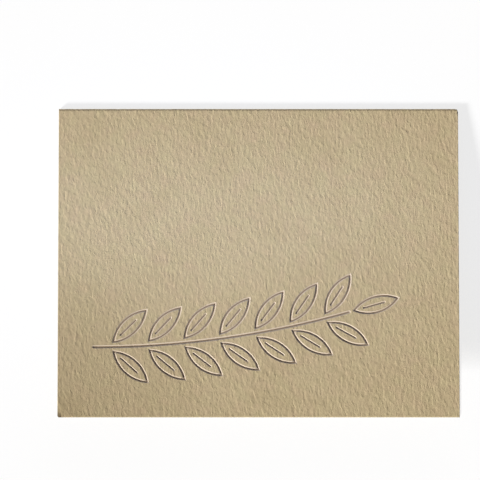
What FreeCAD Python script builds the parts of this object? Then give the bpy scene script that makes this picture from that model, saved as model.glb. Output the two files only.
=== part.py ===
"""Folded greeting card in heavy felt-marked cover stock, with a blind-debossed laurel branch.

The card is one sheet, scored across its middle and folded over its top edge. It lies as it
comes to rest: the back panel flat, the fold at +Y, and the front panel sprung open a few
degrees, so that its free edge at -Y stands clear of the back panel. +X is the reader's right.
The branch is pressed into the outside of the front panel as hairlines: one bent stem, leaf
pairs that repeat along it, and one leaf at its tip. Lengths are in millimetres.
"""
import FreeCAD, Part
import math
import os
from enum import IntEnum

import Sketcher

V = FreeCAD.Vector

# Driving dimensions: the cell's alias, its value and what it sets.
DIMENSIONS = [
    ("card_width", 139.7, "sheet across the fold line"),
    ("card_height", 107.95, "fold to free edge of either panel"),
    ("stock_thickness", 0.5, "cover stock of about 350 g per square metre"),
    ("fold_inner_radius", 0.25, "inside of the scored fold"),
    ("opening_angle", 5.0, "degrees that the front panel springs open"),
    ("corner_wear", 0.6, "radius that handling has given the front panel's lower left corner"),
    ("deboss_depth", 0.25, "how deep the hairlines are pressed"),
    ("stem_left", 12.5, "stem's foot from the card's left edge"),
    ("stem_up", 24.5, "stem's foot above the front panel's free edge"),
    ("stem_bend", 330.0, "radius of the stem's centre line"),
    ("stem_length", 90.0, "stem's centre line, cap centre to cap centre"),
    ("stem_line", 1.0, "width of the stem's groove"),
    ("leaf_length", 17.0, "leaf from point to point"),
    ("leaf_breadth", 6.2, "leaf at its widest, outside its line"),
    ("leaf_line", 0.85, "width of a leaf's outline groove"),
    ("leaf_angle", 43.0, "degrees between a side leaf and the stem"),
    ("leaf_gap", 0.8, "clear of the stem's groove to a leaf's point"),
    ("first_leaf", 6.5, "stem's foot to the first leaf pair, along the stem"),
    ("leaf_pitch", 12.5, "from one leaf pair to the next, along the stem"),
    ("leaf_pairs", 7, "number of leaf pairs"),
    ("vein_line", 0.65, "width of a leaf's vein groove"),
    ("vein_inset", 4.0, "leaf's foot to the vein's first cap centre"),
    ("vein_length", 7.5, "vein's cap centre to cap centre"),
]

# Expressions that several sketches share.
BEND = "Dims.stem_bend"
OUTER_RADIUS = "(Dims.fold_inner_radius + Dims.stock_thickness)"
TILT = "(Dims.opening_angle * 1 deg)"
LEAF_RADIUS = "((Dims.leaf_length^2 + Dims.leaf_breadth^2) / (4 * Dims.leaf_breadth))"
LEAF_OFFSET = "(Dims.stem_line / 2 + Dims.leaf_gap)"
FIRST_TURN = "(Dims.first_leaf / Dims.stem_bend * 1 rad)"
TIP_TURN = "((Dims.stem_length + Dims.stem_line / 2 + Dims.leaf_gap) / Dims.stem_bend * 1 rad)"


class At(IntEnum):
    """Which point of a line or an arc a constraint holds."""

    START = 1
    END = 2
    CENTRE = 3


class Axis(IntEnum):
    """A sketch's own axes, as its constraints name them."""

    X = -1
    Y = -2


# A sketch's origin: the point where its own X axis starts.
ORIGIN = (Axis.X, At.START)

# Two lengths nearer than this are the same.
NEAR = 1e-4


def make_dimensions(doc):
    """Writes the driving dimensions into a spreadsheet and returns their values by alias."""
    sheet = doc.addObject("Spreadsheet::Sheet", "Dims")
    for row, (alias, value, meaning) in enumerate(DIMENSIONS, start=1):
        sheet.set(f"A{row}", alias)
        sheet.set(f"B{row}", str(value))
        sheet.set(f"C{row}", meaning)
        sheet.setAlias(f"B{row}", alias)
    doc.recompute()
    return {alias: sheet.get(alias) for alias, _, _ in DIMENSIONS}


def origin_plane(body, role):
    """One of the body's own origin planes, found by its role."""
    return next(f for f in body.Origin.OriginFeatures if f.Role == role)


def new_sketch(body, name, role):
    """An empty sketch on one of the body's origin planes."""
    sketch = body.newObject("Sketcher::SketchObject", name)
    sketch.AttachmentSupport = (origin_plane(body, role), [""])
    sketch.MapMode = "FlatFace"
    return sketch


def constrain(sketch, kind, *where):
    """Adds a geometric constraint."""
    return sketch.addConstraint(Sketcher.Constraint(kind, *where))


def dimension(sketch, name, kind, *where_and_value, rule):
    """Adds a named dimensional constraint that follows the rule, an expression."""
    index = sketch.addConstraint(Sketcher.Constraint(kind, *where_and_value))
    sketch.renameConstraint(index, name)
    sketch.setExpression(f"Constraints.{name}", rule)


def line(sketch, start, end):
    """Adds a line and returns its index."""
    return sketch.addGeometry(Part.LineSegment(V(*start, 0), V(*end, 0)), False)


def arc(sketch, centre, radius, start_angle, end_angle):
    """Adds an arc, counter-clockwise, angles in radians, and returns its index."""
    circle = Part.Circle(V(*centre, 0), V(0, 0, 1), radius)
    return sketch.addGeometry(Part.ArcOfCircle(circle, start_angle, end_angle), False)


def polar(centre, radius, angle):
    """The point at that radius and angle about the centre."""
    return (centre[0] + radius * math.cos(angle), centre[1] + radius * math.sin(angle))


def draw_sheet_profile(body, d):
    """The folded sheet seen from its side: back panel, fold and front panel in one outline."""
    sketch = new_sketch(body, "SheetProfile", "YZ_Plane")
    tilt = math.radians(d["opening_angle"])
    inner = d["fold_inner_radius"]
    outer = inner + d["stock_thickness"]
    back_edge = -d["card_height"] / 2
    centre = (d["card_height"] / 2 - outer, outer)
    reach = d["card_height"] - outer
    leave = math.pi / 2 - tilt

    outer_leave = polar(centre, outer, leave)
    inner_leave = polar(centre, inner, leave)
    outer_free = polar(outer_leave, reach, math.pi - tilt)
    inner_free = polar(inner_leave, reach, math.pi - tilt)
    thickness = d["stock_thickness"]

    back_under = line(sketch, (back_edge, 0), (centre[0], 0))
    fold_outer = arc(sketch, centre, outer, -math.pi / 2, leave)
    front_face = line(sketch, outer_leave, outer_free)
    front_cut = line(sketch, outer_free, inner_free)
    front_inside = line(sketch, inner_free, inner_leave)
    fold_inner = arc(sketch, centre, inner, -math.pi / 2, leave)
    back_inside = line(sketch, (centre[0], thickness), (back_edge, thickness))
    back_cut = line(sketch, (back_edge, thickness), (back_edge, 0))

    constrain(sketch, "Tangent", back_under, At.END, fold_outer, At.START)
    constrain(sketch, "Tangent", fold_outer, At.END, front_face, At.START)
    constrain(sketch, "Coincident", front_face, At.END, front_cut, At.START)
    constrain(sketch, "Coincident", front_cut, At.END, front_inside, At.START)
    constrain(sketch, "Tangent", front_inside, At.END, fold_inner, At.END)
    constrain(sketch, "Tangent", fold_inner, At.START, back_inside, At.START)
    constrain(sketch, "Coincident", back_inside, At.END, back_cut, At.START)
    constrain(sketch, "Coincident", back_cut, At.END, back_under, At.START)
    constrain(sketch, "Coincident", fold_inner, At.CENTRE, fold_outer, At.CENTRE)
    constrain(sketch, "PointOnObject", back_under, At.START, Axis.X)
    constrain(sketch, "Horizontal", back_under)
    constrain(sketch, "Horizontal", back_inside)
    constrain(sketch, "Vertical", back_cut)
    constrain(sketch, "Parallel", front_inside, front_face)
    constrain(sketch, "Perpendicular", front_cut, front_face)

    dimension(sketch, "back_edge", "DistanceX", back_under, At.START, *ORIGIN, -back_edge,
              rule="Dims.card_height / 2")
    dimension(sketch, "back_reach", "DistanceX", back_under, At.START, back_under, At.END, reach,
              rule=f"Dims.card_height - {OUTER_RADIUS}")
    dimension(sketch, "front_reach", "Distance", front_face, At.START, front_face, At.END, reach,
              rule=f"Dims.card_height - {OUTER_RADIUS}")
    dimension(sketch, "outer_radius", "Radius", fold_outer, outer, rule=OUTER_RADIUS)
    dimension(sketch, "inner_radius", "Radius", fold_inner, inner, rule="Dims.fold_inner_radius")
    dimension(sketch, "tilt", "Angle", front_face, math.pi - tilt, rule=f"180 deg - {TILT}")
    return sketch


def place_on_front_panel(sketch):
    """Lays an ornament sketch on the front panel's outer face, its origin at the stem's bend centre."""
    foot_to_centre = f"({BEND} + Dims.stem_up - (Dims.card_height - {OUTER_RADIUS}))"
    fold_axis_y = f"(Dims.card_height / 2 - {OUTER_RADIUS})"
    across = "Dims.stem_left - Dims.card_width / 2"
    along = f"{fold_axis_y} + {OUTER_RADIUS} * sin({TILT}) + {foot_to_centre} * cos({TILT})"
    up = f"{OUTER_RADIUS} + {OUTER_RADIUS} * cos({TILT}) - {foot_to_centre} * sin({TILT})"
    sketch.AttachmentOffset = FreeCAD.Placement(V(0, 0, 0), FreeCAD.Rotation(V(1, 0, 0), -1))
    sketch.setExpression("AttachmentOffset.Base.x", across)
    sketch.setExpression("AttachmentOffset.Base.y", along)
    sketch.setExpression("AttachmentOffset.Base.z", up)
    sketch.setExpression("AttachmentOffset.Rotation.Angle", f"-{TILT}")


def draw_stem(body, d):
    """The stem's groove: a round-ended slot bent about the sketch's origin."""
    sketch = new_sketch(body, "StemLine", "XY_Plane")
    place_on_front_panel(sketch)
    bend, half = d["stem_bend"], d["stem_line"] / 2
    foot = -math.pi / 2
    tip = foot + d["stem_length"] / bend

    lower = arc(sketch, (0, 0), bend + half, foot, tip)
    tip_cap = arc(sketch, polar((0, 0), bend, tip), half, tip, tip + math.pi)
    upper = arc(sketch, (0, 0), bend - half, foot, tip)
    foot_cap = arc(sketch, (0, -bend), half, foot + math.pi, foot + 2 * math.pi)

    constrain(sketch, "Coincident", lower, At.CENTRE, *ORIGIN)
    constrain(sketch, "Coincident", upper, At.CENTRE, *ORIGIN)
    constrain(sketch, "Tangent", lower, At.END, tip_cap, At.START)
    constrain(sketch, "Tangent", tip_cap, At.END, upper, At.END)
    constrain(sketch, "Tangent", upper, At.START, foot_cap, At.START)
    constrain(sketch, "Tangent", foot_cap, At.END, lower, At.START)
    constrain(sketch, "PointOnObject", foot_cap, At.CENTRE, Axis.Y)
    dimension(sketch, "lower_radius", "Radius", lower, bend + half,
              rule=f"{BEND} + Dims.stem_line / 2")
    dimension(sketch, "upper_radius", "Radius", upper, bend - half,
              rule=f"{BEND} - Dims.stem_line / 2")
    dimension(sketch, "tip_reach", "DistanceX", *ORIGIN, tip_cap, At.CENTRE,
              bend * math.cos(tip), rule=f"{BEND} * sin(Dims.stem_length / {BEND} * 1 rad)")
    return sketch


def draw_leaf(sketch, name, d, radius, turn, lean):
    """One leaf: an outline between two pointed ovals, and a vein inside it.

    The leaf's foot lies at the given radius from the bend's centre, turned along the stem by
    turn, and the leaf leans from the stem's direction there by lean. Each of the three is a
    pair: the value in millimetres or radians, and the expression that it follows.
    """
    length, breadth, groove = d["leaf_length"], d["leaf_breadth"], d["leaf_line"]
    heading = turn[0] + lean[0]
    foot = polar((0, 0), radius[0], turn[0] - math.pi / 2)
    tip = polar(foot, length, heading)
    middle = polar(foot, length / 2, heading)
    side_radius = (length**2 + breadth**2) / (4 * breadth)
    centre_off = side_radius - breadth / 2
    left_centre = polar(middle, -centre_off, heading + math.pi / 2)
    right_centre = polar(middle, centre_off, heading + math.pi / 2)

    axis = line(sketch, foot, tip)
    sketch.toggleConstruction(axis)
    dimension(sketch, f"{name}_foot_x", "DistanceX", *ORIGIN, axis, At.START, foot[0],
              rule=f"{radius[1]} * sin({turn[1]})")
    dimension(sketch, f"{name}_foot_y", "DistanceY", axis, At.START, *ORIGIN, -foot[1],
              rule=f"{radius[1]} * cos({turn[1]})")
    dimension(sketch, f"{name}_heading", "Angle", axis, heading, rule=f"{turn[1]} + {lean[1]}")
    dimension(sketch, f"{name}_length", "Distance", axis, At.START, axis, At.END, length,
              rule="Dims.leaf_length")

    spread = math.atan2(centre_off, length / 2)
    left = arc(sketch, left_centre, side_radius, heading + spread, heading + math.pi - spread)
    right = arc(sketch, right_centre, side_radius,
                heading + math.pi + spread, heading + 2 * math.pi - spread)
    constrain(sketch, "Coincident", left, At.START, axis, At.END)
    constrain(sketch, "Coincident", left, At.END, axis, At.START)
    constrain(sketch, "Coincident", right, At.START, axis, At.START)
    constrain(sketch, "Coincident", right, At.END, axis, At.END)
    dimension(sketch, f"{name}_left", "Radius", left, side_radius, rule=LEAF_RADIUS)
    dimension(sketch, f"{name}_right", "Radius", right, side_radius, rule=LEAF_RADIUS)

    inner_radius = side_radius - groove
    inner_spread = math.asin(centre_off / inner_radius)
    left_inner = arc(sketch, left_centre, inner_radius,
                     heading + inner_spread, heading + math.pi - inner_spread)
    right_inner = arc(sketch, right_centre, inner_radius,
                      heading + math.pi + inner_spread, heading + 2 * math.pi - inner_spread)
    constrain(sketch, "Coincident", left_inner, At.CENTRE, left, At.CENTRE)
    constrain(sketch, "Coincident", right_inner, At.CENTRE, right, At.CENTRE)
    constrain(sketch, "Coincident", left_inner, At.START, right_inner, At.END)
    constrain(sketch, "Coincident", left_inner, At.END, right_inner, At.START)
    dimension(sketch, f"{name}_left_inner", "Radius", left_inner, inner_radius,
              rule=f"{LEAF_RADIUS} - Dims.leaf_line")
    dimension(sketch, f"{name}_right_inner", "Radius", right_inner, inner_radius,
              rule=f"{LEAF_RADIUS} - Dims.leaf_line")
    draw_vein(sketch, name, d, axis, foot, heading)


def draw_vein(sketch, name, d, axis, foot, heading):
    """The leaf's vein: a round-ended slot centred on the leaf's axis."""
    half = d["vein_line"] / 2
    near = polar(foot, d["vein_inset"], heading)
    far = polar(near, d["vein_length"], heading)
    square = math.pi / 2
    near_left, near_right = polar(near, half, heading + square), polar(near, half, heading - square)
    far_left, far_right = polar(far, half, heading + square), polar(far, half, heading - square)

    right = line(sketch, near_right, far_right)
    far_cap = arc(sketch, far, half, heading - square, heading + square)
    left = line(sketch, far_left, near_left)
    near_cap = arc(sketch, near, half, heading + square, heading + 3 * square)
    constrain(sketch, "Tangent", right, At.END, far_cap, At.START)
    constrain(sketch, "Tangent", far_cap, At.END, left, At.START)
    constrain(sketch, "Tangent", left, At.END, near_cap, At.START)
    constrain(sketch, "Tangent", near_cap, At.END, right, At.START)
    constrain(sketch, "Equal", near_cap, far_cap)
    constrain(sketch, "PointOnObject", near_cap, At.CENTRE, axis)
    constrain(sketch, "PointOnObject", far_cap, At.CENTRE, axis)
    dimension(sketch, f"{name}_vein_half", "Radius", near_cap, half, rule="Dims.vein_line / 2")
    dimension(sketch, f"{name}_vein_inset", "Distance", axis, At.START, near_cap, At.CENTRE,
              d["vein_inset"], rule="Dims.vein_inset")
    dimension(sketch, f"{name}_vein_length", "Distance", near_cap, At.CENTRE, far_cap, At.CENTRE,
              d["vein_length"], rule="Dims.vein_length")


def draw_first_leaf_pair(body, d):
    """The leaf pair nearest the stem's foot, one leaf on each side of the stem."""
    sketch = new_sketch(body, "FirstLeafPair", "XY_Plane")
    place_on_front_panel(sketch)
    offset = d["stem_line"] / 2 + d["leaf_gap"]
    turn = (d["first_leaf"] / d["stem_bend"], FIRST_TURN)
    lean = math.radians(d["leaf_angle"])
    draw_leaf(sketch, "above", d, (d["stem_bend"] - offset, f"({BEND} - {LEAF_OFFSET})"),
              turn, (lean, "Dims.leaf_angle * 1 deg"))
    draw_leaf(sketch, "below", d, (d["stem_bend"] + offset, f"({BEND} + {LEAF_OFFSET})"),
              turn, (-lean, "(-Dims.leaf_angle) * 1 deg"))
    return sketch


def draw_tip_leaf(body, d):
    """The single leaf that carries on in the stem's direction past its tip."""
    sketch = new_sketch(body, "TipLeaf", "XY_Plane")
    place_on_front_panel(sketch)
    past = d["stem_length"] + d["stem_line"] / 2 + d["leaf_gap"]
    draw_leaf(sketch, "tip", d, (d["stem_bend"], BEND),
              (past / d["stem_bend"], TIP_TURN), (0.0, "0 deg"))
    return sketch


def press(body, name, sketch):
    """Presses a sketch's grooves into the front panel, square to its face."""
    volume_before = body.Shape.Volume
    pocket = body.newObject("PartDesign::Pocket", name)
    pocket.Profile = sketch
    pocket.Type = "Length"
    pocket.setExpression("Length", "Dims.deboss_depth")
    body.Document.recompute()
    if body.Shape.Volume > volume_before - NEAR:
        raise RuntimeError(f"{name} presses nothing into the sheet")
    return pocket


def worn_corner(shape, d):
    """Name of the short edge at the front panel's lower left corner, from face to face."""
    left = -d["card_width"] / 2
    for number, edge in enumerate(shape.Edges, start=1):
        ends = [vertex.Point for vertex in edge.Vertexes]
        on_left = all(abs(end.x - left) < NEAR for end in ends)
        through_stock = abs(edge.Length - d["stock_thickness"]) < NEAR
        over_back_panel = all(end.z > d["stock_thickness"] for end in ends)
        if on_left and through_stock and over_back_panel:
            return f"Edge{number}"
    raise RuntimeError("the front panel has no lower left corner")


def make_card(doc, d):
    """The folded card, one solid: the sheet in its folded shape, then the pressed branch."""
    body = doc.addObject("PartDesign::Body", "folded_card")
    body.Label = "folded_card"

    sheet = body.newObject("PartDesign::Pad", "FoldedSheet")
    sheet.Profile = draw_sheet_profile(body, d)
    sheet.SideType = "Symmetric"
    sheet.setExpression("Length", "Dims.card_width")
    doc.recompute()

    press(body, "StemPress", draw_stem(body, d))
    press(body, "TipLeafPress", draw_tip_leaf(body, d))
    first_pair = draw_first_leaf_pair(body, d)
    pair_press = press(body, "LeafPairPress", first_pair)

    branch = body.newObject("PartDesign::PolarPattern", "LeafPairs")
    branch.Originals = [pair_press]
    branch.Axis = (first_pair, ["N_Axis"])
    branch.Mode = "Spacing"
    branch.setExpression("Offset", f"Dims.leaf_pitch / {BEND} * 1 rad")
    branch.setExpression("Occurrences", "Dims.leaf_pairs")
    body.Tip = branch
    doc.recompute()

    blunted = body.newObject("PartDesign::Fillet", "BluntedCorner")
    blunted.Base = (branch, [worn_corner(branch.Shape, d)])
    blunted.setExpression("Radius", "Dims.corner_wear")
    doc.recompute()
    return body


def check(doc, bodies):
    """Stops the build at a failed object, a loose sketch, or a body that isn't one valid solid."""
    for item in doc.Objects:
        if "Invalid" in item.State or "Error" in item.State:
            raise RuntimeError(f"{item.Name} failed: {item.State}")
        if item.isDerivedFrom("Sketcher::SketchObject") and not item.FullyConstrained:
            raise RuntimeError(f"{item.Name} isn't fully constrained")
    for body in bodies:
        shape = body.Shape
        if shape.isNull() or not shape.isValid() or len(shape.Solids) != 1:
            raise RuntimeError(f"{body.Label} isn't one valid solid")


def main():
    """Builds the document and writes each sub-part to its own file."""
    doc = FreeCAD.newDocument("GreetingCard")
    bodies = [make_card(doc, make_dimensions(doc))]
    check(doc, bodies)
    os.makedirs("parts", exist_ok=True)
    for body in bodies:
        body.Shape.exportStep(f"parts/{body.Label}.step")
        box = body.Shape.BoundBox
        print(f"{body.Label}: {body.Shape.Volume:.1f} mm3, {len(body.Shape.Faces)} faces,",
              f"{box.XLength:.2f} x {box.YLength:.2f} x {box.ZLength:.2f} mm")


main()
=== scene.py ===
"""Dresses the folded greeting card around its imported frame.

The card is one sheet of heavy felt-marked cover stock. It is made here as a card maker makes it:
the blank is cut flat, its lines are pressed into the front with a die, the felt's marks are laid
over both faces, and the blank is folded along its score. Every mesh is worked out in millimetres
and scaled to metres at the end, in the frame's own axes: +X to the reader's right, +Y towards the
fold and +Z up. On the flat blank the front panel lies below the fold (-Y), the back panel above
it, and +Z is the outside of the card.
"""

import logging
import math
from dataclasses import dataclass, field
from enum import Enum
from typing import Any

import bmesh
import bpy
from bmesh.types import BMEdge, BMesh, BMFace, BMVert
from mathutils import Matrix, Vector, noise


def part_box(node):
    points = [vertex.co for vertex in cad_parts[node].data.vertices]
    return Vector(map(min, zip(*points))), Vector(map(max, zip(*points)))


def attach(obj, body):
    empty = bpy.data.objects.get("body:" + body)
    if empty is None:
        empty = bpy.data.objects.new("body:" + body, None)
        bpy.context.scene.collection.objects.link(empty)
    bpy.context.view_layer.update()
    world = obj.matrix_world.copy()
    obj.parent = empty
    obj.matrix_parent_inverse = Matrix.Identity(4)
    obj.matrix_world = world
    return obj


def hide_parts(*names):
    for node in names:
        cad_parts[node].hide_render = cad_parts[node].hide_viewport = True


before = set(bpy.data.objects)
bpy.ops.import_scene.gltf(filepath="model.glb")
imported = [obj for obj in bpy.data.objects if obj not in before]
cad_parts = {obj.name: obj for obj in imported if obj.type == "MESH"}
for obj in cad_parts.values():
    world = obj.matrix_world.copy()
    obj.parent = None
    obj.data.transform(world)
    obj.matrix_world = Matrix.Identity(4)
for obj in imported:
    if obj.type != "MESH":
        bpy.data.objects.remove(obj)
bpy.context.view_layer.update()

MM = 0.001
Z_AXIS = Vector((0.0, 0.0, 1.0))

# Two lengths in millimetres that differ by less than this are the same.
NEAR = 0.001

# A face of the flat blank lies flat where the upright part of its normal is longer than this.
FLAT = 0.5

# The attribute that says how deep a point of the card is pressed: 0 at its face, 1 at the foot.
PRESSED = "pressed"

log = logging.getLogger("card")


def linear(hex_colour: str, alpha: float = 1.0) -> tuple[float, float, float, float]:
    """Turns an sRGB hex colour into the linear values that Blender's sockets take.

    Args:
        hex_colour: The colour as #RRGGBB.
        alpha: The fourth value.

    Returns:
        Red, green, blue and alpha, linear.
    """
    steps = [int(hex_colour[i:i + 2], 16) / 255 for i in (1, 3, 5)]
    red, green, blue = (s / 12.92 if s <= 0.04045 else ((s + 0.055) / 1.055) ** 2.4 for s in steps)
    return red, green, blue, alpha


def add_node(tree: bpy.types.NodeTree, kind: str, inputs: dict[str | int, Any] | None = None,
             **settings: Any) -> bpy.types.Node:
    """Adds a shader node with its settings, its constants and its links.

    Args:
        tree: The node tree that gets the node.
        kind: The node's type, such as ShaderNodeBump.
        inputs: Input name or index to a constant, or to the output socket that feeds it.
        **settings: The node's own properties.

    Returns:
        The node.
    """
    node = tree.nodes.new(kind)
    for name, value in settings.items():
        setattr(node, name, value)
    for name, value in (inputs or {}).items():
        if isinstance(value, bpy.types.NodeSocket):
            tree.links.new(value, node.inputs[name])
        else:
            node.inputs[name].default_value = value
    return node


def grains_at(tree: bpy.types.NodeTree, place: bpy.types.NodeSocket,
              size: tuple[float, float, float], detail: float,
              twist: float = 0.4) -> bpy.types.NodeSocket:
    """Adds a noise whose grains have that size.

    Args:
        tree: The material's node tree.
        place: The coordinates it is laid over, in metres.
        size: The size of its grains along each axis, in millimetres.
        detail: How many finer layers it has.
        twist: How far the grains are pulled out of their even rows.

    Returns:
        The noise's value.
    """
    scaled = add_node(tree, "ShaderNodeMapping",
                      {"Vector": place, "Scale": tuple(1 / (s * MM) for s in size)})
    grains = add_node(tree, "ShaderNodeTexNoise",
                      {"Vector": scaled.outputs[0], "Scale": 1.0, "Detail": detail,
                       "Distortion": twist})
    return grains.outputs["Fac"]


def new_object(name: str, mesh: bpy.types.Mesh) -> bpy.types.Object:
    """Makes an object of the mesh and links it to the scene.

    Args:
        name: The object's name.
        mesh: Its mesh.

    Returns:
        The object.
    """
    made = bpy.data.objects.new(name, mesh)
    bpy.context.scene.collection.objects.link(made)
    return made


def mesh_from(bm: BMesh, name: str) -> bpy.types.Mesh:
    """Writes the bmesh to a new mesh and frees it.

    Args:
        bm: The bmesh.
        name: The new mesh's name.

    Returns:
        The mesh.
    """
    mesh = bpy.data.meshes.new(name)
    bm.to_mesh(mesh)
    bm.free()
    return mesh


def polar(centre: Vector, radius: float, angle: float) -> Vector:
    """The point at that radius and angle, in radians, about the centre."""
    return centre + radius * Vector((math.cos(angle), math.sin(angle), 0.0))


class Finish(Enum):
    """The finishes of the card, in the order of its material slots."""

    FELT_FACE = 0
    PRESSED_LINE = 1
    CUT_EDGE = 2


@dataclass(frozen=True)
class Sheet:
    """Sizes of the folded sheet, in millimetres and degrees."""

    width: float
    height: float
    stock: float = 0.5
    inner_radius: float = 0.25
    opening: float = 5.0

    @property
    def outer_radius(self) -> float:
        """Radius of the fold's outside."""
        return self.inner_radius + self.stock

    @property
    def middle_radius(self) -> float:
        """Radius of the fold's middle layer, which keeps its length when it bends."""
        return self.inner_radius + self.stock / 2

    @property
    def tilt(self) -> float:
        """How far the front panel springs open, in radians."""
        return math.radians(self.opening)

    @property
    def panel(self) -> float:
        """Length of either panel's flat part, from the bend to the free edge."""
        return self.height - self.outer_radius

    @property
    def half_bend(self) -> float:
        """Half the length of the bend, along the middle layer."""
        return self.middle_radius * (math.pi - self.tilt) / 2

    @property
    def half_length(self) -> float:
        """Half the length of the flat blank."""
        return self.half_bend + self.panel

    @property
    def outside(self) -> float:
        """Height of the blank's outer face above its middle layer."""
        return self.stock / 2

    def folded(self, flat: Vector) -> Vector:
        """Carries a point of the flat blank to its place on the folded card.

        Args:
            flat: The point on the blank: across, along from the fold's middle, and above the
                middle layer.

        Returns:
            The point in the frame's axes, in millimetres.
        """
        along, out = -flat.y, self.middle_radius + flat.z
        centre = Vector((flat.x, self.height / 2 - self.outer_radius, self.outer_radius))
        if along > self.half_bend:
            radial, run = math.pi / 2 - self.tilt, along - self.half_bend
            ahead = Vector((0.0, -math.cos(self.tilt), math.sin(self.tilt)))
        elif along < -self.half_bend:
            radial, run = -math.pi / 2, -along - self.half_bend
            ahead = Vector((0.0, -1.0, 0.0))
        else:
            radial, run = along / self.middle_radius - self.tilt / 2, 0.0
            ahead = Vector((0.0, 0.0, 0.0))
        return centre + out * Vector((0.0, math.cos(radial), math.sin(radial))) + run * ahead


@dataclass(frozen=True)
class Run:
    """One stretch of an outline: a turn about a centre, or a straight shift."""

    steps: int
    turn: float = 0.0
    centre: Vector = field(default_factory=Vector)
    shift: Vector = field(default_factory=Vector)


@dataclass(frozen=True)
class LineProfile:
    """How a die's ridge goes down into the sheet, in millimetres.

    It starts from a rim a little above the sheet, at a lip that draws the sheet down on either
    side of the line. Each step moves inwards by a share of the way from the rim to the line's
    middle, and down by a share of the depth: the rounded lip, the flank and a rounded foot.
    """

    depth: float = 0.25
    lip: float = 0.12
    rim_above: float = 0.01
    shank: float = 0.3
    steps: tuple[tuple[float, float], ...] = ((0.15, 0.1), (0.55, 0.8), (0.15, 0.1))

    def cuts(self, line: float) -> list[tuple[float, float]]:
        """The steps inwards and down that shape a line of that width."""
        return [(inwards * (line / 2 + self.lip), down * (self.depth + self.rim_above))
                for inwards, down in self.steps]


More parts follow.
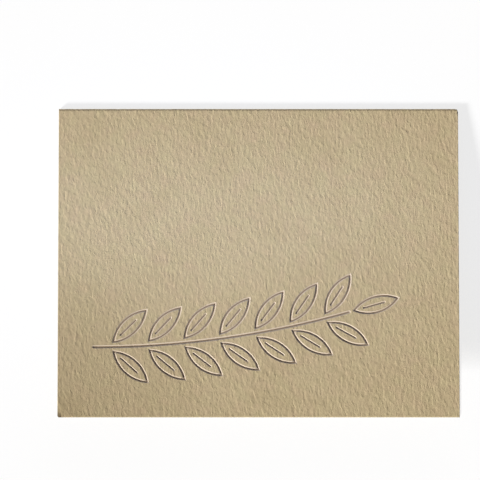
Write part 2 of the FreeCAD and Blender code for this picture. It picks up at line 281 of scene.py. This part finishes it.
@dataclass
class BranchDie:
    """The die that presses the branch: one bent stem, leaf pairs along it, and a leaf at its tip.

    Sizes are in millimetres and degrees. The die stands on the outside of the flat blank.
    """

    sheet: Sheet
    stem_left: float = 12.5
    stem_up: float = 24.5
    stem_bend: float = 330.0
    stem_length: float = 90.0
    stem_line: float = 1.0
    leaf_length: float = 17.0
    leaf_breadth: float = 6.2
    leaf_line: float = 0.85
    leaf_angle: float = 43.0
    leaf_gap: float = 0.8
    first_leaf: float = 6.5
    leaf_pitch: float = 12.5
    leaf_pairs: int = 7
    vein_line: float = 0.65
    vein_inset: float = 4.0
    vein_length: float = 7.5
    profile: LineProfile = LineProfile()
    facet: float = 0.7
    cap_steps: int = 6

    @property
    def foot(self) -> Vector:
        """The stem's foot on the blank, at the height where the die's rim meets the sheet.

        Returns:
            The foot, in millimetres.
        """
        across = self.stem_left - self.sheet.width / 2
        along = self.stem_up - self.sheet.half_length
        return Vector((across, along, self.sheet.outside + self.profile.rim_above))

    @property
    def bend_centre(self) -> Vector:
        """The centre that the stem bends about."""
        return self.foot + Vector((0.0, self.stem_bend, 0.0))

    def facets(self, length: float) -> int:
        """How many straight facets a curved stretch of that length gets."""
        return max(2, round(length / self.facet))

    def outline(self, bm: BMesh, start: Vector, runs: list[Run]) -> list[BMEdge]:
        """Draws a closed outline by spinning a vertex through its runs.

        Args:
            bm: The mesh that gets the outline.
            start: Where the outline starts and ends.
            runs: Its stretches, in order.

        Returns:
            The outline's edges.
        """
        first = bm.verts.new(start)
        last, points = first, {first}
        for run in runs:
            known = set(bm.verts)
            spun = bmesh.ops.spin(bm, geom=[last], cent=run.centre, axis=Z_AXIS,
                                  dvec=run.shift / run.steps, angle=run.turn, steps=run.steps,
                                  use_duplicate=False)
            last = next(g for g in spun["geom_last"] if isinstance(g, BMVert))
            points |= set(bm.verts) - known
        bmesh.ops.pointmerge(bm, verts=[first, last], merge_co=start)
        points = {p for p in points if p.is_valid}
        return [e for e in bm.edges if e.verts[0] in points and e.verts[1] in points]

    def stem(self, bm: BMesh) -> list[BMFace]:
        """Draws the stem's outline as one face: a round-ended bar bent about its centre.

        Args:
            bm: The mesh that gets the face.

        Returns:
            The face, in a list.
        """
        half, bend = self.stem_line / 2 + self.profile.lip, self.stem_bend
        turn = self.stem_length / bend
        tip = polar(self.bend_centre, bend, turn - math.pi / 2)
        steps = self.facets(self.stem_length)
        runs = [
            Run(steps, turn, self.bend_centre),
            Run(self.cap_steps, math.pi, tip),
            Run(steps, -turn, self.bend_centre),
            Run(self.cap_steps, math.pi, self.foot),
        ]
        start = self.foot - Vector((0.0, half, 0.0))
        return bmesh.ops.contextual_create(bm, geom=self.outline(bm, start, runs))["faces"]

    def leaf_places(self) -> list[tuple[Vector, float]]:
        """Works out where the leaves stand: pair after pair along the stem, then the tip's.

        Returns:
            Each leaf's foot on the blank and its heading in radians.
        """
        off = self.stem_line / 2 + self.leaf_gap
        lean = math.radians(self.leaf_angle)
        places = []
        for pair in range(self.leaf_pairs):
            turn = (self.first_leaf + pair * self.leaf_pitch) / self.stem_bend
            for side in (1, -1):
                foot = polar(self.bend_centre, self.stem_bend - side * off, turn - math.pi / 2)
                places.append((foot, turn + side * lean))
        turn = (self.stem_length + off) / self.stem_bend
        places.append((polar(self.bend_centre, self.stem_bend, turn - math.pi / 2), turn))
        return places

    def leaf_ring(self, bm: BMesh, foot: Vector, heading: float) -> list[BMFace]:
        """Draws one leaf's outline as a ring of faces between two pointed ovals.

        Args:
            bm: The mesh that gets the ring.
            foot: The leaf's foot.
            heading: The leaf's direction in radians.

        Returns:
            The ring's faces.
        """
        length, breadth = self.leaf_length, self.leaf_breadth
        radius = (length**2 + breadth**2) / (4 * breadth)
        aside = radius - breadth / 2
        middle = polar(foot, length / 2, heading)
        centres = [polar(middle, side * aside, heading + math.pi / 2) for side in (-1, 1)]
        steps = self.facets(length)
        edges = []
        for reach in (radius + self.profile.lip, radius - self.leaf_line - self.profile.lip):
            half = math.acos(aside / reach)
            start = polar(middle, reach * math.sin(half), heading)
            edges += self.outline(bm, start, [Run(steps, 2 * half, c) for c in centres])
        return bmesh.ops.bridge_loops(bm, edges=edges)["faces"]

    def vein(self, bm: BMesh, foot: Vector, heading: float) -> list[BMFace]:
        """Draws one leaf's vein as one face: a straight round-ended bar on the leaf's axis.

        Args:
            bm: The mesh that gets the face.
            foot: The leaf's foot.
            heading: The leaf's direction in radians.

        Returns:
            The face, in a list.
        """
        near = polar(foot, self.vein_inset, heading)
        far = polar(near, self.vein_length, heading)
        start = polar(near, self.vein_line / 2 + self.profile.lip, heading - math.pi / 2)
        steps = self.facets(self.vein_length)
        runs = [
            Run(steps, shift=far - near),
            Run(self.cap_steps, math.pi, far),
            Run(steps, shift=near - far),
            Run(self.cap_steps, math.pi, near),
        ]
        return bmesh.ops.contextual_create(bm, geom=self.outline(bm, start, runs))["faces"]

    def raise_ridge(self, bm: BMesh, faces: list[BMFace], line: float) -> None:
        """Turns flat faces into a ridge that points down into the sheet.

        Args:
            bm: The mesh that holds the faces.
            faces: The line's faces, level with the die's rim.
            line: The line's width.
        """
        for face in faces:
            if face.normal.z < 0:
                face.normal_flip()
        drawn = bmesh.ops.extrude_face_region(bm, geom=faces)
        raised = [g for g in drawn["geom"] if isinstance(g, BMVert)]
        bmesh.ops.translate(bm, verts=raised, vec=self.profile.shank * Z_AXIS)
        low = [f for f in faces if f.is_valid]
        bmesh.ops.reverse_faces(bm, faces=[f for f in low if f.normal.z > 0])
        for inwards, down in self.profile.cuts(line):
            bmesh.ops.inset_region(bm, faces=low, thickness=inwards, depth=down,
                                   use_even_offset=True)

    def build(self, material: bpy.types.Material) -> bpy.types.Object:
        """Makes the die as one closed mesh for each line.

        Args:
            material: The finish that the pressed lines keep.

        Returns:
            The die, which is taken away once the sheet is pressed.
        """
        bm = bmesh.new()
        self.raise_ridge(bm, self.stem(bm), self.stem_line)
        for foot, heading in self.leaf_places():
            self.raise_ridge(bm, self.leaf_ring(bm, foot, heading), self.leaf_line)
            self.raise_ridge(bm, self.vein(bm, foot, heading), self.vein_line)
        bmesh.ops.recalc_face_normals(bm, faces=bm.faces)
        mesh = mesh_from(bm, "branch_die")
        mesh.materials.append(material)
        return new_object("branch_die", mesh)


@dataclass(frozen=True)
class Wavelets:
    """One size of the felt's wavelets: their width, their length and their share of the relief."""

    width: float
    length: float
    share: float


@dataclass(frozen=True)
class FeltMarks:
    """The marks that a woven felt leaves in wet paper: shallow wavelets, longer than wide.

    Sizes are in millimetres and degrees. A lean above zero turns the wavelets' tops to the left,
    one below zero to the right. A layer is a stretch of the noise of its own, so that two
    patterns don't repeat each other.
    """

    depth: float = 0.1
    wavelets: tuple[Wavelets, ...] = (Wavelets(0.6, 1.0, 0.65), Wavelets(0.68, 2.6, 1.0),
                                      Wavelets(1.7, 5.0, 0.3))
    lean: float = -2.0
    wander: float = 5.0
    wander_by: float = 0.5
    patch: float = 15.0
    patch_share: float = 0.35
    wander_layer: float = 5.0
    patch_layer: float = 0.5

    def hollow(self, across: float, along: float, layer: float) -> float:
        """How deep the felt has marked one place.

        Args:
            across: The place across the blank.
            along: The place along the blank.
            layer: A number of its own for each face, so that their marks differ.

        Returns:
            0 on the highest spots, 1 in the deepest.
        """
        lean = math.radians(self.lean)
        u = across * math.cos(lean) + along * math.sin(lean)
        v = along * math.cos(lean) - across * math.sin(lean)
        u += self.wander_by * noise.noise(
            Vector((u / self.wander, v / self.wander, layer + self.wander_layer)))
        rise = sum(w.share * noise.noise(Vector((u / w.width, v / w.length, layer + i)))
                   for i, w in enumerate(self.wavelets))
        patch = noise.noise(Vector((u / self.patch, v / self.patch, layer + self.patch_layer)))
        return min(1.0, max(0.0, 0.5 - 0.5 * rise * (1.0 + self.patch_share * patch)))


@dataclass(frozen=True)
class Patch:
    """A strip of one side of the blank, and how many cuts each of its coarse cells gets."""

    outside: bool
    start: float
    end: float
    across: int = 0
    along: int = 0

    def holds(self, edge: BMEdge, surface: float) -> bool:
        """Tells whether the edge lies on the patch.

        Args:
            edge: An edge of the flat blank.
            surface: Height of the blank's outer face.

        Returns:
            True where both ends lie on the patch's side and between its start and end.
        """
        level = surface if self.outside else -surface
        return all(abs(v.co.z - level) < NEAR and self.start - NEAR < v.co.y < self.end + NEAR
                   for v in edge.verts)


@dataclass
class FoldedCard:
    """The card: one blank, cut, pressed, felt-marked and folded. Sizes are in millimetres."""

    sheet: Sheet
    die: BranchDie
    felt: FeltMarks = FeltMarks()
    cell: float = 2.0
    bend_rows: int = 12
    edge_softness: float = 0.03
    edge_fade: float = 0.35
    corner_wear: float = 0.6
    fold_end_wear: float = 0.5
    fold_end_reach: float = 1.1
    fold_end_sink: float = 1 / 3
    tip_crease: float = 0.7
    tip_ease: float = 3.0
    tip_dent: float = 0.16
    hidden_share: float = 0.6
    outside_layer: float = 0.0
    hidden_layer: float = 20.0

    @property
    def patches(self) -> list[Patch]:
        """Divides each of the blank's surfaces as finely as its felt marks need.

        Returns:
            The front panel with the bend, the front panel alone, the back panel, and the
            whole of the hidden side.
        """
        bend, end = self.sheet.half_bend, self.sheet.half_length
        return [Patch(True, -end, bend, across=4), Patch(True, -end, -bend, along=2),
                Patch(True, bend, end, across=1), Patch(False, -end, end, across=1)]

    def cut_blank(self) -> BMesh:
        """Cuts the flat blank: a closed slab in coarse cells, with finer rows where it bends.

        Returns:
            The blank.
        """
        sheet = self.sheet
        bm = bmesh.new()
        bmesh.ops.create_grid(bm, x_segments=round(sheet.width / self.cell),
                              y_segments=2 * round(sheet.half_length / self.cell), size=0.5)
        bmesh.ops.scale(bm, vec=(sheet.width, 2 * sheet.half_length, 1.0), verts=bm.verts)
        for row in range(self.bend_rows + 1):
            place = sheet.half_bend * (2 * row / self.bend_rows - 1)
            bmesh.ops.bisect_plane(bm, geom=bm.verts[:] + bm.edges[:] + bm.faces[:],
                                   dist=NEAR / 2, plane_co=(0.0, place, 0.0),
                                   plane_no=(0.0, 1.0, 0.0))
        grown = bmesh.ops.extrude_face_region(bm, geom=bm.faces[:])
        top = [g for g in grown["geom"] if isinstance(g, BMVert)]
        bmesh.ops.translate(bm, verts=top, vec=sheet.stock * Z_AXIS)
        bmesh.ops.translate(bm, verts=bm.verts, vec=-sheet.outside * Z_AXIS)
        bmesh.ops.recalc_face_normals(bm, faces=bm.faces)
        return bm

    def wear_corner(self, bm: BMesh) -> None:
        """Blunts the front panel's lower left corner, as handling has.

        Args:
            bm: The blank.
        """
        left, end = -self.sheet.width / 2, -self.sheet.half_length
        edges = [e for e in bm.edges
                 if all(v.co.x < left + NEAR and v.co.y < end + NEAR for v in e.verts)]
        bmesh.ops.bevel(bm, geom=edges, offset=self.corner_wear, segments=3, profile=0.5,
                        affect="EDGES", material=-1)

    def soften_edges(self, bm: BMesh) -> None:
        """Softens the cut edges, and gives the faces between them the cut edge's finish.

        Args:
            bm: The blank.
        """
        rims = [e for e in bm.edges if len(e.link_faces) == 2
                and sum(abs(f.normal.z) > FLAT for f in e.link_faces) == 1]
        for face in bm.faces:
            if abs(face.normal.z) < FLAT:
                face.material_index = Finish.CUT_EDGE.value
        bmesh.ops.bevel(bm, geom=rims, offset=self.edge_softness, segments=2, profile=0.5,
                        affect="EDGES", material=-1)

    def refine(self, bm: BMesh) -> None:
        """Divides the blank's coarse cells, patch by patch.

        Args:
            bm: The blank.
        """
        for patch in self.patches:
            for axis, cuts in ((0, patch.across), (1, patch.along)):
                edges = [e for e in bm.edges
                         if cuts and patch.holds(e, self.sheet.outside)
                         and abs(e.verts[0].co[1 - axis] - e.verts[1].co[1 - axis]) < NEAR
                         and abs(e.verts[0].co[axis] - e.verts[1].co[axis]) > self.cell / 2]
                bmesh.ops.subdivide_edges(bm, edges=edges, cuts=cuts, use_grid_fill=True)

    def press(self, bm: BMesh, materials: list[bpy.types.Material]) -> BMesh:
        """Presses the die into the blank's outside.

        Args:
            bm: The blank, which is freed.
            materials: The card's finishes, in the order of its slots.

        Returns:
            The pressed blank.
        """
        blank = new_object("blank", mesh_from(bm, "blank"))
        for material in materials:
            blank.data.materials.append(material)
        die = self.die.build(materials[Finish.PRESSED_LINE.value])
        cut = blank.modifiers.new("press", "BOOLEAN")
        cut.operation, cut.solver, cut.object = "DIFFERENCE", "MANIFOLD", die
        cut.material_mode = "TRANSFER"
        bpy.context.view_layer.update()
        held = bpy.data.meshes.new_from_object(
            blank.evaluated_get(bpy.context.evaluated_depsgraph_get()))
        pressed = bmesh.new()
        pressed.from_mesh(held)
        for made in (blank, die):
            bpy.data.objects.remove(made)
        return pressed

    def mark(self, bm: BMesh) -> None:
        """Sinks the felt's marks into both faces, and notes how deep each point is pressed.

        The marks run out at the cut edges and in the pressed lines.

        Args:
            bm: The pressed blank.
        """
        half, deep = self.sheet.outside, self.die.profile.depth
        pressed = bm.verts.layers.float.new(PRESSED)
        for vert in bm.verts:
            x, y, z = vert.co
            inwards = min(self.sheet.width / 2 - abs(x), self.sheet.half_length - abs(y))
            share = min(1.0, max(0.0, (inwards - self.edge_softness) / self.edge_fade))
            if z > half - deep - NEAR:
                vert[pressed] = min(1.0, max(0.0, (half - z) / deep))
                share *= 1.0 - vert[pressed]
                hollow = self.felt.hollow(x, y, self.outside_layer)
                vert.co.z -= share * self.felt.depth * hollow
            elif z < -half + NEAR:
                share *= self.hidden_share
                hollow = self.felt.hollow(x, y, self.hidden_layer)
                vert.co.z += share * self.felt.depth * hollow

    def bend_tip(self, bm: BMesh) -> None:
        """Dents the tip of the front panel's lower left corner along a short crease.

        Args:
            bm: The marked blank.
        """
        for vert in bm.verts:
            from_left = vert.co.x + self.sheet.width / 2
            from_end = vert.co.y + self.sheet.half_length
            along = (from_left + from_end) / math.sqrt(2) - self.tip_crease
            near = 1.0 - (along / self.tip_ease if along > 0 else -along / self.tip_crease)
            vert.co.z -= self.tip_dent * min(1.0, max(0.0, near))

    def wear_fold_end(self, bm: BMesh) -> None:
        """Crushes the right end of the fold a little, as handling has.

        Args:
            bm: The marked blank.
        """
        for vert in bm.verts:
            from_end = self.sheet.width / 2 - vert.co.x
            near = max(0.0, 1.0 - from_end / self.fold_end_reach)
            near *= max(0.0, 1.0 - abs(vert.co.y) / self.fold_end_reach)
            vert.co.x -= self.fold_end_wear * near
            vert.co.z -= self.fold_end_wear * self.fold_end_sink * near

    def fold(self, bm: BMesh) -> None:
        """Folds the marked blank and scales it to metres."""
        for vert in bm.verts:
            vert.co = self.sheet.folded(vert.co) * MM

    def mark_sharp(self, bm: BMesh) -> None:
        """Shades the card smooth, apart from the rims where one finish meets another.

        Args:
            bm: The marked blank.
        """
        for face in bm.faces:
            face.smooth = True
        for edge in bm.edges:
            finishes = {f.material_index for f in edge.link_faces}
            edge.smooth = len(finishes) == 1

    def build(self, materials: list[bpy.types.Material]) -> bpy.types.Object:
        """Makes the card and puts it in the frame.

        Args:
            materials: The card's finishes, in the order of its slots.

        Returns:
            The piece.
        """
        bm = self.cut_blank()
        self.wear_corner(bm)
        self.soften_edges(bm)
        self.refine(bm)
        bm = self.press(bm, materials)
        self.mark(bm)
        self.bend_tip(bm)
        self.wear_fold_end(bm)
        self.mark_sharp(bm)
        self.fold(bm)
        bmesh.ops.triangulate(bm, faces=bm.faces)
        mesh = mesh_from(bm, "felt_card")
        for material in materials:
            mesh.materials.append(material)
        card = new_object("felt_card", mesh)
        even = card.modifiers.new("even shading", "WEIGHTED_NORMAL")
        even.keep_sharp = True
        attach(card, "root")
        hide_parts("folded_card")
        return card


@dataclass(frozen=True)
class Tint:
    """A tone that shows through in soft clouds, as unevenly mixed pulp does.

    The size is in millimetres. The tone starts to show where the clouds' value passes the
    start, and shows by its whole share where the value reaches the full mark.
    """

    tone: str
    size: float
    share: float
    start: float = 0.35
    full: float = 0.75

    def shows(self, tree: bpy.types.NodeTree, place: bpy.types.NodeSocket) -> bpy.types.NodeSocket:
        """Adds the nodes that say how much of the tone shows.

        Args:
            tree: The material's node tree.
            place: The coordinates of the shaded point.

        Returns:
            The tone's share.
        """
        clouds = grains_at(tree, place, (self.size,) * 3, 1.0)
        shown = add_node(tree, "ShaderNodeMapRange",
                         {"Value": clouds, "From Min": self.start, "From Max": self.full,
                          "To Min": 0.0, "To Max": self.share})
        return shown.outputs[0]


@dataclass(frozen=True)
class ShadeAndSmudge:
    """A browner tone painted around the card's lower left corner: painted shade that darkens the
    card towards that corner, and, at the very tip, partly painted shade of the bent tip and partly
    fingers' dirt.

    It fades out over its reach. The reach and the corner's place are in millimetres.
    """

    tone: str
    reach: float
    share: float
    corner: tuple[float, float, float] = (-69.6, -53.4, 10.6)

    def shows(self, tree: bpy.types.NodeTree, place: bpy.types.NodeSocket) -> bpy.types.NodeSocket:
        """Adds the nodes that say how much of the tone shows.

        Args:
            tree: The material's node tree.
            place: The coordinates of the shaded point.

        Returns:
            The tone's share.
        """
        corner = tuple(c * MM for c in self.corner)
        away = add_node(tree, "ShaderNodeVectorMath", {0: place, 1: corner},
                        operation="DISTANCE")
        shown = add_node(tree, "ShaderNodeMapRange",
                         {"Value": away.outputs["Value"], "From Min": 0.0,
                          "From Max": self.reach * MM, "To Min": self.share, "To Max": 0.0})
        return shown.outputs[0]


@dataclass(frozen=True)
class GrooveShade:
    """Painted shade: a darker, browner tone towards the foot of the pressed lines, where their
    shadows fall.

    It starts to show at the start, a share of the lines' depth, and is fullest at the foot.
    """

    tone: str
    share: float
    start: float = 0.5

    def shows(self, tree: bpy.types.NodeTree, place: bpy.types.NodeSocket) -> bpy.types.NodeSocket:
        """Adds the nodes that say how much of the tone shows.

        Args:
            tree: The material's node tree.
            place: The coordinates of the shaded point, which it has no need of.

        Returns:
            The tone's share.
        """
        depth = add_node(tree, "ShaderNodeAttribute", attribute_name=PRESSED)
        shown = add_node(tree, "ShaderNodeMapRange",
                         {"Value": depth.outputs["Fac"], "From Min": self.start, "From Max": 1.0,
                          "To Min": 0.0, "To Max": self.share})
        return shown.outputs[0]


@dataclass(frozen=True)
class PaperFinish:
    """One finish of the uncoated cover paper: a matt, slightly cloudy tan with a fibrous tooth.

    Scales are real sizes in millimetres, across the card, along it and through the stock. A
    single fibre is about 0.03 mm wide, too fine to show, so the fibres are drawn five times as
    coarse. The felt's wavelets here are the finest of its marks, on top of those that the mesh
    has. Its drag is how far the top of a full-height one is drawn to the right. The refraction
    is about that of cellulose.
    """

    name: str
    pale: str = "#C8B792"
    deep: str = "#B8A57F"
    fleck: str = "#9A8B6D"
    cloud: float = 13.0
    flecked: float = 0.4
    fleck_start: float = 0.52
    fleck_full: float = 0.85
    tints: tuple[Tint, ...] = (Tint("#C6AD8D", 4.5, 0.5), Tint("#C3B68B", 5.5, 0.35))
    # Painted shade: the card darker and browner towards the front panel's lower left corner. The
    # smallest tone, at the tip, is partly fingers' dirt and partly painted shade of the bent tip.
    shade_and_smudges: tuple[ShadeAndSmudge, ...] = (ShadeAndSmudge("#8F7D5C", 62.0, 0.4), ShadeAndSmudge("#7D6B4C", 10.0, 0.25),
                                   ShadeAndSmudge("#65553B", 1.9, 0.75))
    # Painted shade towards the foot of the pressed lines.
    groove_shades: tuple[GrooveShade, ...] = ()
    fibre: tuple[float, float, float] = (0.16, 0.7, 0.7)
    tooth: float = 0.006
    felt: tuple[float, float, float] = (0.78, 1.9, 1.9)
    felt_drag: float = 1.6
    felt_relief: float = 0.12
    refraction: float = 1.5
    roughness: float = 0.88
    sheen: float = 0.25
    burnish: float = 0.0
    burnish_roughness: float = 0.5

    def blend(self, tree: bpy.types.NodeTree, share: bpy.types.NodeSocket, low: Any,
              high: Any) -> bpy.types.NodeSocket:
        """Adds a colour mix.

        Args:
            tree: The material's node tree.
            share: How much of the second colour shows.
            low: The first colour, or the socket that gives it.
            high: The second colour, or the socket that gives it.

        Returns:
            The mixed colour.
        """
        mix = add_node(tree, "ShaderNodeMix", {0: share, 6: low, 7: high}, data_type="RGBA")
        return mix.outputs[2]

    def build(self) -> bpy.types.Material:
        """Makes the material.

        Returns:
            The material.
        """
        material = bpy.data.materials.new(self.name)
        material.use_nodes = True
        tree = material.node_tree
        tree.nodes.clear()
        place = add_node(tree, "ShaderNodeTexCoord").outputs["Object"]
        clouds = grains_at(tree, place, (self.cloud,) * 3, detail=3.0)
        fibres = grains_at(tree, place, self.fibre, detail=2.0)
        upright = grains_at(tree, place, self.felt, detail=1.0)
        dragged = add_node(tree, "ShaderNodeVectorMath",
                           {0: upright, 1: (-self.felt_drag * MM, 0.0, 0.0), 2: place},
                           operation="MULTIPLY_ADD")
        felt = grains_at(tree, dragged.outputs[0], self.felt, detail=1.0)
        few = add_node(tree, "ShaderNodeMapRange",
                       {"Value": fibres, "From Min": self.fleck_start,
                        "From Max": self.fleck_full, "To Min": 0.0, "To Max": self.flecked})
        colour = self.blend(tree, clouds, linear(self.pale), linear(self.deep))
        for tint in self.tints:
            colour = self.blend(tree, tint.shows(tree, place), colour, linear(tint.tone))
        colour = self.blend(tree, few.outputs[0], colour, linear(self.fleck))
        # Painted shade: the tones towards the lower left corner and at the foot of the pressed
        # lines.
        for mark in (*self.shade_and_smudges, *self.groove_shades):
            colour = self.blend(tree, mark.shows(tree, place), colour, linear(mark.tone))
        wavy = add_node(tree, "ShaderNodeBump",
                        {"Height": felt, "Distance": self.felt_relief * MM})
        toothed = add_node(tree, "ShaderNodeBump",
                           {"Height": fibres, "Distance": self.tooth * MM,
                            "Normal": wavy.outputs[0]})
        surface = add_node(tree, "ShaderNodeBsdfPrincipled",
                           {"Base Color": colour, "IOR": self.refraction,
                            "Roughness": self.roughness,
                            "Specular IOR Level": self.sheen, "Coat Weight": self.burnish,
                            "Coat Roughness": self.burnish_roughness,
                            "Normal": toothed.outputs[0], "Coat Normal": toothed.outputs[0]})
        add_node(tree, "ShaderNodeOutputMaterial", {"Surface": surface.outputs[0]})
        return material


# The face is uncoated cover paper, marked by a woven felt while it was wet: it stays dry and
# matt, and shows the felt's fine wavelets under a slanting light. The die irons the paper where
# it presses its lines, so they lose the wavelets and catch a soft gleam. Their colour is painted
# paler than the face, a painted highlight for their lit sides, and towards their foot darker and
# browner, painted shade where the grooves' shadows fall. The guillotined edge shows the sheet's
# core: dull, in thin layers of torn fibre.
FINISHES = {
    Finish.FELT_FACE: PaperFinish("felt_marked_cover_paper"),
    # The pressed lines' colour is painted paler than the face, a painted highlight for their lit
    # sides, and their foot is painted darker and browner, painted shade.
    Finish.PRESSED_LINE: PaperFinish("die_pressed_cover_paper", pale="#CEBEAA", deep="#C2B19B",
                                     tints=(), groove_shades=(GrooveShade("#684A24", 0.7),),
                                     felt_relief=0.008, flecked=0.15, roughness=0.7,
                                     sheen=0.2, burnish=0.1),
    Finish.CUT_EDGE: PaperFinish("guillotined_cover_paper", pale="#C3B594", deep="#B3A482",
                                 fibre=(1.1, 1.1, 0.05), flecked=0.6, tooth=0.02,
                                 felt_relief=0.0),
}


@dataclass
class Studio:
    """The floor, the lamps and the camera. Angles are in degrees, sizes in metres.

    The key is low and comes from the lower left, a faint lamp stands behind the fold, a cool
    strip lamp hangs overhead, and an even, warm fill comes from all round.
    """

    floor_size: float = 3.0
    floor_gap: float = 0.00002
    floor_colour: str = "#FAFAFA"
    shadow_share: float = 0.2
    key_turn: float = 38.0
    key_rise: float = 18.0
    key_strength: float = 9.0
    key_spread: float = 9.0
    rear_turn: float = -95.0
    rear_rise: float = 4.0
    rear_strength: float = 1.5
    rear_spread: float = 20.0
    strip_place: tuple[float, float, float] = (-0.022, 0.018, 0.05)
    strip_size: tuple[float, float] = (0.15, 0.03)
    strip_power: float = 0.0178
    strip_colour: str = "#AEC8FF"
    fill_strength: float = 0.06
    fill_colour: str = "#FFDDB4"
    camera_place: tuple[float, float, float] = (-0.00645, 0.00808, 1.142)
    lens: float = 244.4

    def floor(self) -> None:
        """Lays the floor. To the camera it is mostly plain white, and it keeps a pale shadow."""
        bm = bmesh.new()
        bmesh.ops.create_grid(bm, x_segments=1, y_segments=1, size=self.floor_size / 2)
        bmesh.ops.translate(bm, verts=bm.verts, vec=-self.floor_gap * Z_AXIS)
        mesh = mesh_from(bm, "floor")
        # Matt white board shows nothing but the card's shadow.
        material = bpy.data.materials.new("matt_white_board")
        material.use_nodes = True
        tree = material.node_tree
        tree.nodes.clear()
        board = add_node(tree, "ShaderNodeBsdfDiffuse", {"Color": linear(self.floor_colour)})
        white = add_node(tree, "ShaderNodeEmission", {"Color": linear("#FFFFFF"), "Strength": 1.0})
        pale = add_node(tree, "ShaderNodeMixShader",
                        {"Fac": 1 - self.shadow_share, 1: board.outputs[0], 2: white.outputs[0]})
        path = add_node(tree, "ShaderNodeLightPath")
        seen = add_node(tree, "ShaderNodeMixShader",
                        {"Fac": path.outputs["Is Camera Ray"], 1: board.outputs[0],
                         2: pale.outputs[0]})
        add_node(tree, "ShaderNodeOutputMaterial", {"Surface": seen.outputs[0]})
        mesh.materials.append(material)
        new_object("floor", mesh)

    def hang(self, name: str, data: bpy.types.Light | bpy.types.Camera) -> bpy.types.Object:
        """Makes an object of the lamp or camera and links it to the scene.

        Args:
            name: The object's name.
            data: The lamp or camera.

        Returns:
            The object.
        """
        hung = bpy.data.objects.new(name, data)
        bpy.context.scene.collection.objects.link(hung)
        return hung

    def sun(self, name: str, turn: float, rise: float, strength: float, spread: float) -> None:
        """Hangs a far lamp.

        Args:
            name: The lamp's name.
            turn: Its direction around the card, from the left (-X) towards the free edge (-Y).
            rise: Its height above the floor, as an angle.
            strength: Its strength.
            spread: How wide it looks from the card, as an angle.
        """
        lamp = bpy.data.lights.new(name, "SUN")
        lamp.energy = strength
        lamp.angle = math.radians(spread)
        turn, rise = math.radians(turn), math.radians(rise)
        towards = Vector((-math.cos(turn) * math.cos(rise), -math.sin(turn) * math.cos(rise),
                          math.sin(rise)))
        self.hang(name, lamp).rotation_euler = towards.to_track_quat("Z", "Y").to_euler()

    def strip(self) -> None:
        """Hangs the strip lamp close over the card's upper left, out of the camera's sight."""
        lamp = bpy.data.lights.new("strip", "AREA")
        lamp.shape = "RECTANGLE"
        lamp.size, lamp.size_y = self.strip_size
        lamp.energy = self.strip_power
        lamp.color = linear(self.strip_colour)[:3]
        strip = self.hang("strip", lamp)
        strip.location = self.strip_place
        strip.visible_camera = False

    def world(self) -> None:
        """Sets the even fill. The camera sees the surroundings as plain white."""
        world = bpy.data.worlds.new("studio")
        bpy.context.scene.world = world
        world.use_nodes = True
        tree = world.node_tree
        tree.nodes.clear()
        fill = add_node(tree, "ShaderNodeBackground",
                        {"Color": linear(self.fill_colour), "Strength": self.fill_strength})
        white = add_node(tree, "ShaderNodeBackground",
                         {"Color": linear("#FFFFFF"), "Strength": 1.0})
        path = add_node(tree, "ShaderNodeLightPath")
        seen = add_node(tree, "ShaderNodeMixShader",
                        {"Fac": path.outputs["Is Camera Ray"], 1: fill.outputs[0],
                         2: white.outputs[0]})
        add_node(tree, "ShaderNodeOutputWorld", {"Surface": seen.outputs[0]})

    def camera(self) -> None:
        """Sets the camera straight above the card, off its middle as the photograph frames it."""
        lens = bpy.data.cameras.new("camera")
        lens.lens = self.lens
        camera = self.hang("camera", lens)
        camera.location = self.camera_place
        bpy.context.scene.camera = camera

    def build(self) -> None:
        """Builds the studio and sets how colours are shown."""
        self.floor()
        self.sun("key", self.key_turn, self.key_rise, self.key_strength, self.key_spread)
        self.sun("rear", self.rear_turn, self.rear_rise, self.rear_strength, self.rear_spread)
        self.strip()
        self.world()
        self.camera()
        bpy.context.scene.view_settings.view_transform = "Standard"


def main() -> None:
    """Builds the card and the studio in order, and reports each piece."""
    logging.basicConfig(level=logging.INFO, format="%(name)s: %(message)s")
    low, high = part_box("folded_card")
    sheet = Sheet(width=(high.x - low.x) / MM, height=(high.y - low.y) / MM)
    materials = [FINISHES[finish].build() for finish in Finish]
    card = FoldedCard(sheet=sheet, die=BranchDie(sheet)).build(materials)
    log.info("%s: %d triangles", card.name, len(card.data.polygons))
    Studio().build()


if __name__ == "__main__":
    main()
